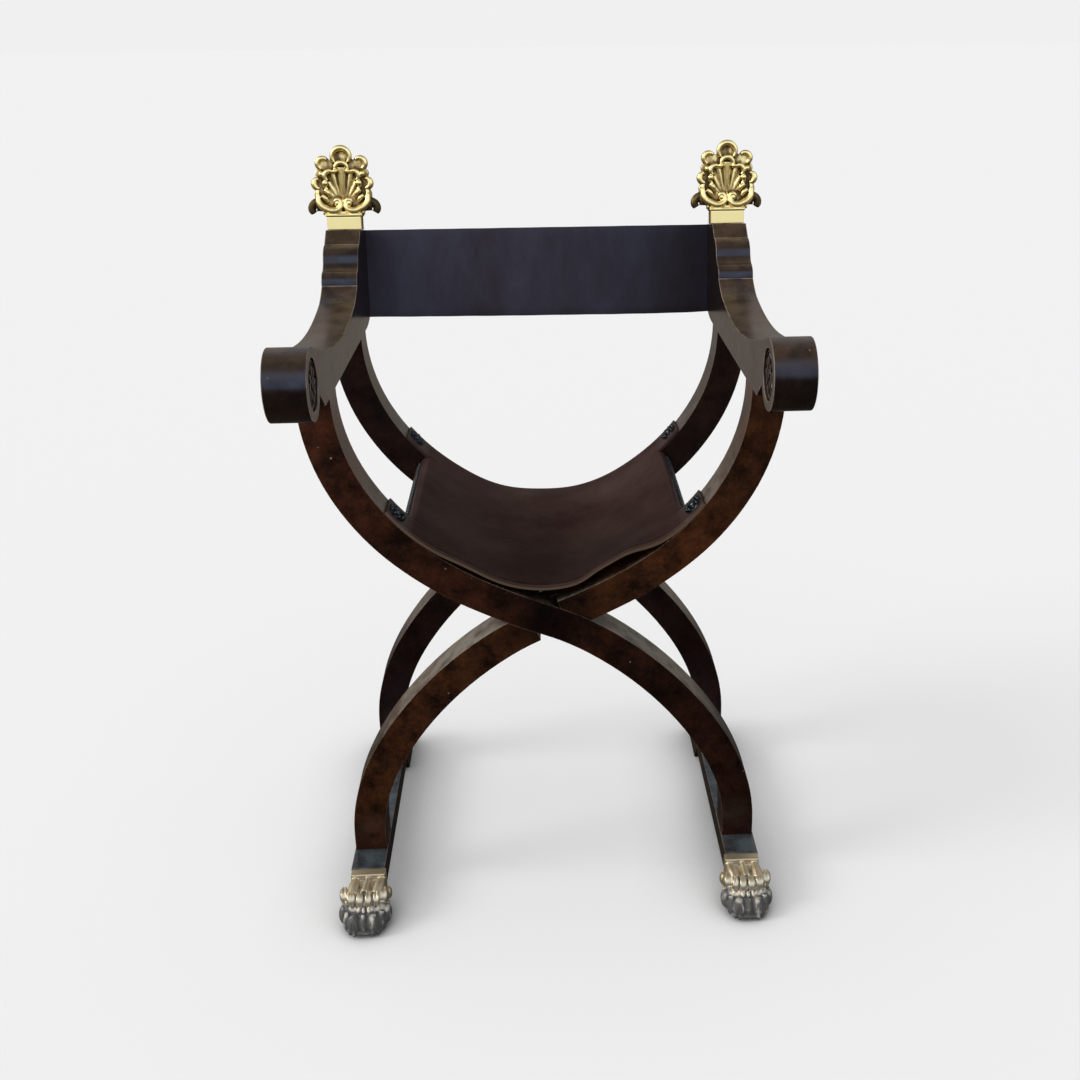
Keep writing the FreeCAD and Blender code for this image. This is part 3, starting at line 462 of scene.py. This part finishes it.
def settle(name, bm, body, material, nodes, sharp):
    """Turns a bmesh into a finished piece that stands for CAD nodes and rides on a body where it has one."""
    mesh = bpy.data.meshes.new(name)
    bm.to_mesh(mesh)
    bm.free()
    for face in mesh.polygons:
        face.use_smooth = True
    mesh.set_sharp_from_angle(angle=math.radians(sharp))
    piece = placed(name, mesh)
    mesh.materials.append(material)
    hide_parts(*nodes)
    if body:
        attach(piece, body)
    print(name, len(mesh.polygons), "faces")
    return piece


def merged(node_name):
    """A bmesh of a CAD node with its triangles joined into whole faces."""
    bm = bmesh.new()
    bm.from_mesh(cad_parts[node_name].data)
    bmesh.ops.remove_doubles(bm, verts=bm.verts, dist=0.00001)
    bmesh.ops.dissolve_limit(
        bm, angle_limit=math.radians(0.5), use_dissolve_boundaries=False, verts=bm.verts, edges=bm.edges
    )
    return bm


def rounded(bm, width, least=25, segments=3):
    """Rounds the sharp edges of a bmesh and marks the new faces as arrises."""
    sharp = [e for e in bm.edges if len(e.link_faces) == 2 and e.calc_face_angle(0) > math.radians(least)]
    made = bmesh.ops.bevel(
        bm, geom=sharp, offset=width, offset_type="OFFSET", segments=segments, profile=0.5, affect="EDGES",
        clamp_overlap=True, material=-1,
    )
    layer = bm.faces.layers.float.get("arris") or bm.faces.layers.float.new("arris")
    for face in made["faces"]:
        if face.is_valid:
            face[layer] = 1


# %% Boards


def board(node_name, body, material, width):
    """A copy of a CAD board with rounded arrises."""
    bm = merged(node_name)
    bm.faces.layers.float.new("arris")
    rounded(bm, width)
    piece = settle(node_name + "_board", bm, body, material, [node_name], 35)
    shading = piece.modifiers.new("even_shading", "WEIGHTED_NORMAL")
    shading.keep_sharp = True


LEG_ARRIS = 1.8 * MM
ARM_ARRIS = 1.2 * MM
RUNNER_ARRIS = 1.5 * MM
RAIL_ARRIS = 0.5 * MM
for name, body, material, width in (
    ("front_member_a", LEFT, dark_leg, LEG_ARRIS),
    ("rear_member_a", LEFT, rear_wood, LEG_ARRIS),
    ("front_member_b", RIGHT, warm_leg, LEG_ARRIS),
    ("rear_member_b", RIGHT, rear_wood, LEG_ARRIS),
    ("left_arm", LEFT, arm_wood, ARM_ARRIS),
    ("right_arm", RIGHT, arm_wood, ARM_ARRIS),
    ("left_runner", RIGHT, runner_wood, RUNNER_ARRIS),
    ("right_runner", LEFT, runner_wood, RUNNER_ARRIS),
    ("left_seat_rail", LEFT, arm_wood, RAIL_ARRIS),
    ("right_seat_rail", RIGHT, arm_wood, RAIL_ARRIS),
    ("centre_stretcher", LEFT, dark_leg, RAIL_ARRIS),
):
    board(name, body, material, width)

# %% [markdown]
# Finials and paws are castings, and the rosettes are carved. A founder's pattern is built up in wax from balls
# and rolled strands that are pressed together and smoothed, and the same is done here: overlapping closed shapes
# in millimetres go into one mesh, a voxel remesh fuses them, and a little smoothing softens the joins.

# %% Modelling in wax
# The voxel's size for the castings, and the most that a place can count as sunk.
FINE = 0.62
DEEPEST = 1.4


def ball(bm, centre, radii, turn=0):
    """A ball squeezed to three radii and turned about the depth axis."""
    matrix = Matrix.Translation(centre) @ Matrix.Rotation(math.radians(turn), 4, "Y")
    bmesh.ops.create_icosphere(bm, subdivisions=3, radius=1, matrix=matrix @ Matrix.Diagonal((*radii, 1)))


def block(bm, low, high, tilt=0):
    """A box between two corners, tilted about its middle so that its front end drops."""
    low = Vector(low)
    high = Vector(high)
    matrix = Matrix.Translation((low + high) / 2) @ Matrix.Rotation(math.radians(tilt), 4, "X")
    matrix = matrix @ Matrix.Diagonal((*(high - low), 1))
    bmesh.ops.create_cube(bm, size=1, matrix=matrix)


def disc(bm, across, up, radius, near, far):
    """A round plate that faces forwards, from a near to a far depth."""
    matrix = Matrix.Translation((across, (near + far) / 2, up)) @ Matrix.Rotation(math.pi / 2, 4, "X")
    bmesh.ops.create_cone(
        bm, cap_ends=True, cap_tris=False, segments=32, radius1=radius, radius2=radius, depth=far - near,
        matrix=matrix,
    )


def strand(bm, spots, radii):
    """A rolled strand through spots, with a tuple of radii or one radius for all."""
    path = bpy.data.curves.new("strand", "CURVE")
    path.dimensions = "3D"
    path.bevel_depth = 1
    path.bevel_resolution = 3
    path.resolution_u = 6
    path.use_fill_caps = True
    line = path.splines.new("BEZIER")
    line.bezier_points.add(len(spots) - 1)
    if not isinstance(radii, tuple):
        radii = (radii,) * len(spots)
    for knot, spot, radius in zip(line.bezier_points, spots, radii):
        knot.co = spot
        knot.radius = radius
        knot.handle_left_type = knot.handle_right_type = "AUTO"
    holder = placed("strand", path)
    bpy.context.view_layer.update()
    mesh = bpy.data.meshes.new_from_object(holder)
    bm.from_mesh(mesh)
    bpy.data.objects.remove(holder)
    bpy.data.curves.remove(path)
    bpy.data.meshes.remove(mesh)


def arc(across, up, radius, first, last, depth, steps=6):
    """Spots on an arc that faces forwards, from a first to a last angle."""
    angles = [math.radians(first + (last - first) * n / steps) for n in range(steps + 1)]
    return [(across + radius * math.cos(a), depth, up + radius * math.sin(a)) for a in angles]


def crescent(width, steps=6):
    """Radii of a strand that is full in the middle and slender at its ends."""
    return tuple(width * (0.6 + 0.4 * math.sin(math.pi * n / steps)) for n in range(steps + 1))


def fused(bm, voxel):
    """The overlapping shapes of a bmesh as one smooth mesh, with details down to the voxel's size."""
    raw = bpy.data.meshes.new("wax")
    bm.to_mesh(raw)
    bm.free()
    holder = placed("wax", raw)
    fuse = holder.modifiers.new("fuse", "REMESH")
    fuse.mode = "VOXEL"
    fuse.voxel_size = voxel
    soften = holder.modifiers.new("soften", "SMOOTH")
    soften.factor = 0.5
    soften.iterations = 2
    bpy.context.view_layer.update()
    shown = holder.evaluated_get(bpy.context.evaluated_depsgraph_get())
    mesh = bpy.data.meshes.new_from_object(shown)
    bpy.data.objects.remove(holder)
    return mesh


def poured(name, mesh, place, body, material, nodes, relief=None):
    """A fused mesh in millimetres, cast in its place on the chair.

    Relief is an axis and the places along it where the casting starts to look sunk and where it is fully sunk.
    A place beyond the second one counts as sunk deeper still, up to DEEPEST.
    """
    bm = bmesh.new()
    bm.from_mesh(mesh)
    if relief:
        axis, first, last = relief
        layer = bm.verts.layers.float.new("sunk")
        for vert in bm.verts:
            vert[layer] = min(DEEPEST, max(0, (vert.co[axis] - first) / (last - first)))
    bm.transform(place @ Matrix.Scale(MM, 4))
    if place.determinant() < 0:
        bmesh.ops.reverse_faces(bm, faces=bm.faces)
    settle(name, bm, body, material, nodes, 180)


# %% [markdown]
# A finial is a scallop shell in a ruffled frame. From outside to inside it has a rim of lobes, small curls and
# pearls, an inner scalloped rim, and a fan of flutes that opens upwards. Two C scrolls close it below, two leaf
# ears curl out at the sides, and a moulded square block carries it. Only one half is written down, and each
# shape is set on both sides.

# %% Finial pattern
PLATE = (7.5, 15)
bm = bmesh.new()

# The plate behind the relief, from discs.
for across, up, radius in ((0, 95, 12), (0, 66, 29), (0, 44, 27)):
    disc(bm, across, up, radius, *PLATE)
for side in (-1, 1):
    for across, up, radius in ((24, 85.5, 9), (32, 60, 8.5), (28, 73, 7), (29, 46, 9), (28, 36, 8)):
        disc(bm, side * across, up, radius, *PLATE)

# The top lobes, then half by half the lobes, small curls, ears, scrolls and flutes.
strand(bm, arc(0, 93.6, 11.4, -36, 216, 6.5, 8), crescent(4.2, 8))
strand(bm, arc(0, 78.5, 8.0, -24, 204, 4, 8), crescent(3.4, 8))
for side in (-1, 1):
    for spots, radii in (
        (arc(24, 85.2, 7.2, 136, -70, 8.8), crescent(4.2)),
        (arc(30.6, 60, 6.4, 88, -96, 6.5), crescent(4.5)),
        (arc(30.4, 48.4, 2.6, 90, -90, 6), crescent(3.0)),
        (arc(15.6, 69.3, 6.6, 124, -56, 4.2), crescent(3.5)),
        (arc(18.4, 57.2, 4.6, 84, -76, 5), crescent(2.8)),
        ([(23.4, 5.5, 51.5), (18.8, 4.8, 48), (16.6, 5.4, 42)], (3.4, 3.4, 1.8)),
        ([(27.4, 5.5, 44.5), (22.8, 4.8, 41), (19.2, 5.4, 35.5)], (3.2, 3.2, 1.8)),
        ([(33, 5.4, 46), (31.2, 4, 35), (23, 3, 27.6), (12, 2.4, 24.8), (5, 2.6, 28), (3.6, 3, 34), (5.8, 3, 38.6),
          (9.6, 3, 38.2), (10.8, 3.4, 35)], (3.2, 4.4, 5.0, 5.0, 4.2, 3.3, 3.1, 2.9, 2.6)),
        ([(26, 15, 38), (35, 15, 37), (41.5, 15, 32.6), (43, 15, 26.4), (40.6, 14.6, 22.4)],
         (5.4, 5.8, 5.8, 5.4, 4.2)),
        ([(25, 15, 30), (36, 15.5, 31)], (6.0, 6.4)),
        ([(3, 9, 38), (12.6, 9, 75)], (1.4, 4.8)),
        ([(5.4, 9, 38), (18.6, 9, 62)], (1.3, 4.0)),
        ([(8, 9, 38), (19, 9, 50)], (1.2, 2.8)),
    ):
        strand(bm, [(side * x, y, z) for x, y, z in spots], radii)
    # The pearls.
    ball(bm, (side * 22.2, 4.2, 60.4), (4.0, 3.6, 4.2))
    ball(bm, (side * 27, 5, 72), (3.6, 3.2, 3.8))
    ball(bm, (side * 8.6, 3, 75.4), (3.0, 2.8, 3.0))
    ball(bm, (side * 7.6, 2.8, 34.6), (4.2, 2.8, 4.2))

# The middle flute and the moulded block below.
strand(bm, [(0, 9, 37), (0, 8.4, 60), (0, 8.4, 80)], (1.6, 4.6, 7.0))
ball(bm, (0, 5, 37), (2.4, 2.4, 4))
block(bm, (-27, 5, 19.5), (27, 16, 27))
block(bm, (-22.5, 0, 0.2), (22.5, 26, 16.4))
block(bm, (-24, -1, 17.6), (24, 27, 20.2))
block(bm, (-21.5, 1, 15), (21.5, 25, 22))
strand(bm, [(-27, 3, 22.4), (0, 3, 22.4), (27, 3, 22.4)], 2.2)
finial_mesh = fused(bm, FINE)
print("finial pattern", len(finial_mesh.polygons), "faces")

# %% Finials on the posts
LEAN = math.radians(8.5)
BLOCK_DEEP = 26
for name, body in (("left_finial", LEFT), ("right_finial", RIGHT)):
    low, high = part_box(name)
    foot = Vector(((low.x + high.x) / 2, low.y, low.z + BLOCK_DEEP * MM * math.sin(LEAN)))
    place = Matrix.Translation(foot) @ Matrix.Rotation(-LEAN, 4, "X")
    poured(name + "_casting", finial_mesh, place, body, finial_brass, [name], (1, 4, 8.5))

# %% [markdown]
# A lion's paw closes each runner. A square collar slips over the wood, a little nearer to the chair's middle
# than the paw, and its panel slopes forward with three tendons and hollows between them. Tufts of fur make the
# knuckles, a band of short tufts lies below them, and four broad toes stand round the front between ridges. The
# two front toes show a small bent claw. The toes are dull grey, and the knuckles gold.

# %% Paw pattern
# How far the collar and the front toes stand from the paw's middle, and half the collar's width.
INNER = 2.7
TOE = 11.6
COLLAR_HALF = 21
bm = bmesh.new()

# The collar with its rolled edge, the sloping panel and the bulk of the paw.
block(bm, (INNER - COLLAR_HALF - 0.5, -12, 3), (INNER + COLLAR_HALF + 0.5, 0, 55.2))
strand(bm, [(INNER + COLLAR_HALF * across, -11.6, 54.2) for across in (-1, 0, 1)], 1.8)
block(bm, (INNER - COLLAR_HALF, -32, 24), (INNER + COLLAR_HALF, -8, 42.4), 24)
block(bm, (-24, -42, 0.4), (24, -8, 36))
ball(bm, (0, -30, 26), (29, 18, 19))
ball(bm, (0, -32, 26), (30.4, 21, 9))
ball(bm, (0, -36, 15), (31, 29, 14.6))
ball(bm, (0, -41, 6.5), (27, 26.5, 6.4))
for side in (-1, 1):
    ball(bm, (side * 10, -44.5, 7), (17.6, 20.6, 6.8))

# The three tendons of the panel, and the knuckles with their tufts, which differ a little between the sides.
strand(bm, [(INNER, -12, 50), (INNER / 2, -22, 47.5), (0, -34, 44)], (3.2, 4.0, 5.8))
for side, tufts in (
    (-1, ((4.8, 0, 5.6, 9.8), (15.6, 3, 7.4, 9.6), (25.4, 10, 6.0, 9.0))),
    (1, ((5.8, 0, 5.2, 9.2), (15.2, 2.4, 5.2, 8.6), (24, 8, 6.2, 9.4))),
):
    spots = [(INNER + side * 16.2, -12, 47), (INNER / 2 + side * 15.6, -24, 44.4), (side * 14.6, -34, 41)]
    strand(bm, spots, (5.0, 7.0, 7.4))
    for across, back, wide, long in tufts:
        middle = side * across
        ball(bm, (middle, -39.5 + back, 37.6), (wide, 9.6, long))
        for way in (-1, 1):
            spots = [(middle + 1.4 * way, -35 + back, 47), (middle + 0.45 * wide * way, -45 + back, 43),
                     (middle + 1.6 * way, -48.6 + back, 33)]
            strand(bm, spots, (1.4, 1.9, 1.2))
    ball(bm, (side * 28.4, -23, 35), (4.4, 8, 8.4))

# The band of short tufts, each leaning its own way.
for n in range(-5, 6):
    across = n * 5.4
    lean = 1.3 * math.sin(2.3 * n)
    over = -52 + 0.024 * across ** 2
    spots = [(across, over + 4.5, 32), (across + lean, over, 28.6), (across + lean / 2, over + 1, 25.4)]
    strand(bm, spots, (2.2, 2.5, 1.9))

# The toes, the furrows and claws of the two front ones, and the ridges between all.
for side in (-1, 1):
    ball(bm, (side * 26.2, -38.6, 17), (6.8, 10.4, 12.8))
    ball(bm, (side * TOE, -55.6, 15), (9.4, 10.4, 12.8))
for across in (-TOE, TOE):
    for way in (-1, 0, 1):
        spots = [(across, -59, 27), (across + 3.2 * way, -64.2, 20.5), (across + 4.4 * way, -64.4, 11)]
        strand(bm, spots, (1.1, 1.5, 1.1))
    for way in (-1, 1):
        ball(bm, (across + 5 * way, -61, 6.8), (3.4, 3.2, 5))
    strand(bm, [(across, -63, 10), (across, -65.6, 6.8), (across, -64, 2.6)], (2.6, 2.4, 1.8))
for across, over in ((-21, -52.6), (0, -59.4), (21, -52.6)):
    spots = [(across, over + 5, 26), (across, over - 1.6, 19), (across, over - 2, 10), (across, over + 2, 4)]
    strand(bm, spots, (3.4, 4.6, 4.4, 3.4))
paw_mesh = fused(bm, FINE)
print("paw pattern", len(paw_mesh.polygons), "faces")

# %% Paws on the runners
for name, body, mirror in (("left_paw", RIGHT, 1), ("right_paw", LEFT, -1)):
    low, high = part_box(name)
    place = Matrix.Translation(((low.x + high.x) / 2, high.y, 0)) @ Matrix.Scale(mirror, 4, (1, 0, 0))
    poured(name + "_casting", paw_mesh, place, body, paw_brass, [name], (2, 36, 27))

# %% [markdown]
# The rosette in each scroll is carved: a round boss, eight rounded petals with a leaf tip between each pair, and
# a plain bead along the rim.

# %% Rosettes
PETALS = 8
bm = bmesh.new()
disc(bm, 0, 0, 27.3, -1.6, 0)
ball(bm, (0, -2.2, 0), (5.2, 2.6, 5.2))
for n in range(PETALS):
    for part, reach, over, radii in ((n, 14, 1.6, (4.6, 2.9, 8.6)), (n + 0.5, 19.5, 1.4, (2.4, 2.0, 4.6))):
        turn = 360 * part / PETALS
        toward = Vector((math.sin(math.radians(turn)), 0, math.cos(math.radians(turn))))
        ball(bm, toward * reach - Vector((0, over, 0)), radii, turn)
strand(bm, arc(0, 0, 25.2, 0, 360, -1.6, 24), 1.5)
rosette_mesh = fused(bm, 0.5)
for name, body, face in (("left_rosette", LEFT, 1), ("right_rosette", RIGHT, -1)):
    low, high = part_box(name)
    middle = (low + high) / 2
    middle.x = low.x if face > 0 else high.x
    place = Matrix.Translation(middle) @ Matrix.Rotation(math.radians(90 * face), 4, "Z")
    poured(name + "_carving", rosette_mesh, place, body, arm_wood, [name])

# %% [markdown]
# Nails and bosses sit where the frame has them. The flat seat of each is the largest face of its solid, so the
# largest faces give every head its place and its direction.

# %% Nails and bosses
NAIL_HIGH = 3 * MM
BOSS_HIGH = 6 * MM
WASHER_HIGH = 1.6 * MM
BEADS = 9


def seats(node_name, count):
    """Centre, outward direction and radius of each nail head of a node."""
    bm = merged(node_name)
    flats = sorted(bm.faces, key=lambda face: -face.calc_area())[:count]
    found = [(f.calc_center_median(), -f.normal, math.sqrt(f.calc_area() / math.pi)) for f in flats]
    bm.free()
    return found


def studs(node_name, count, body, high, beads=0):
    """Domed heads, with a washer and a ring of small beads where they are bosses."""
    bm = bmesh.new()
    for spot, out, radius in seats(node_name, count):
        stand = Matrix.Translation(spot) @ out.to_track_quat("Z", "Y").to_matrix().to_4x4()
        core = radius * (0.6 if beads else 1.15)
        bmesh.ops.create_uvsphere(
            bm, u_segments=16, v_segments=10, radius=1, matrix=stand @ Matrix.Diagonal((core, core, high, 1))
        )
        if beads:
            bmesh.ops.create_cone(
                bm, cap_ends=True, segments=24, radius1=radius, radius2=radius * 0.86, depth=WASHER_HIGH,
                matrix=stand @ Matrix.Translation((0, 0, WASHER_HIGH / 2)),
            )
        for n in range(beads):
            turn = 2 * math.pi * n / beads
            at = Vector((math.cos(turn), math.sin(turn), 0)) * radius * 0.78 + Vector((0, 0, WASHER_HIGH))
            bmesh.ops.create_icosphere(
                bm, subdivisions=2, radius=radius * 0.23, matrix=stand @ Matrix.Translation(at)
            )
    settle(node_name + "_heads", bm, body, nail_bronze, [node_name], 60)


for side, body in (("left", LEFT), ("right", RIGHT)):
    studs(side + "_rail_nails", 26, body, NAIL_HIGH)
    studs(side + "_back_nails", 5, body, NAIL_HIGH)
    studs(side + "_ear_bosses", 2, body, BOSS_HIGH, BEADS)
    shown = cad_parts[side + "_finial_stud"]
    shown.data.materials.clear()
    shown.data.materials.append(nail_bronze)

# %% [markdown]
# The seat is one hide, slung between the legs, with ears nailed up the legs and flaps nailed round the rails. It
# starts from the frame's own sheet, cut into small patches so that it can be shaped, and finer ones at the front
# edge. Years of sitting have made it dip in the middle, while it stays higher at the rear. At the front the edge
# has stretched and stands off the right leg, and a paler rim with a pressed line runs along it; the rim's colour
# is partly wear and partly a painted highlight. The strap between the posts is a plain sheet with faint waves,
# and it hangs a little between its ends.

# %% Leather seat


def patched(bm, axis, first, last, count):
    """Cuts a bmesh into strips across an axis."""
    normal = Vector((axis == 0, axis == 1, axis == 2))
    for n in range(1, count):
        spot = normal * (first + (last - first) * n / count)
        bmesh.ops.bisect_plane(
            bm, geom=bm.verts[:] + bm.edges[:] + bm.faces[:], dist=0.00002, plane_co=spot, plane_no=normal
        )


def hump(value, middle, spread):
    """A bell curve with the height one."""
    return math.exp(-(((value - middle) / spread) ** 2))


RIM = 10
low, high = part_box("leather_seat")
bm = merged("leather_seat")
patched(bm, 1, low.y, high.y, 34)
patched(bm, 1, low.y, low.y + 24 * MM, 12)
patched(bm, 0, low.x, high.x, 44)
layer = bm.faces.layers.float.new("arris")
# The front rim is marked for the paler colour, worn and painted with a highlight, most on the cut edge that faces
# forward.
for face in bm.faces:
    if face.calc_center_median().y < low.y + RIM * MM:
        face[layer] = 0.5 if face.normal.y < -0.7 else 0.14
for vert in bm.verts:
    x, y = vert.co.x / MM, (vert.co.y - low.y) / MM
    near = hump(y, 0, 62)
    edge = 18 * hump(x, 90, 36) + 4 * hump(x, 58, 16) + 5.5 * hump(x, -98, 32) - 0.5 * hump(x, 2, 28)
    dip = 6.5 * hump(x, 4, 78) * hump(y, 283, 80) - 3.5 * hump(x, 0, 70) * hump(y, 130, 80)
    ripple = 0.5 * math.sin(x / 17 + y / 41) * hump(x, 0, 110) - 0.7 * hump(y, RIM, 2.4)
    vert.co.z += (edge * near + dip + ripple) * MM
rounded(bm, 0.6 * MM, 50, 2)
skin_area = sum(face.calc_area() for face in bm.faces) / 2
seat = settle("seat_hide", bm, None, seat_hide, ["leather_seat"], 60)
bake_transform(seat)
print("hide area", round(skin_area, 4))

# %% Leather back
STRAP_HALF = 284
STRAP_HIGH = 118
low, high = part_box("leather_back")
bm = merged("leather_back")
patched(bm, 0, low.x, high.x, 60)
patched(bm, 2, low.z, high.z, 10)
for vert in bm.verts:
    x, z = vert.co.x / MM, (vert.co.z - low.z) / MM
    free = 1 - hump(abs(x), STRAP_HALF, 60)
    vert.co.y += free * (0.5 * math.sin(x / 9) + 0.35 * math.sin(x / 23 + z / 60)) * MM
    vert.co.z -= free * (1.2 - 1.2 * (x / STRAP_HALF) ** 2 + 1.2 + x / 150) * MM * (1 - z / STRAP_HIGH)
rounded(bm, 0.9 * MM, 50, 2)
skin_area = sum(face.calc_area() for face in bm.faces) / 2
back = settle("back_strap", bm, None, back_hide, ["leather_back"], 60)
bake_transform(back)
print("strap area", round(skin_area, 4))
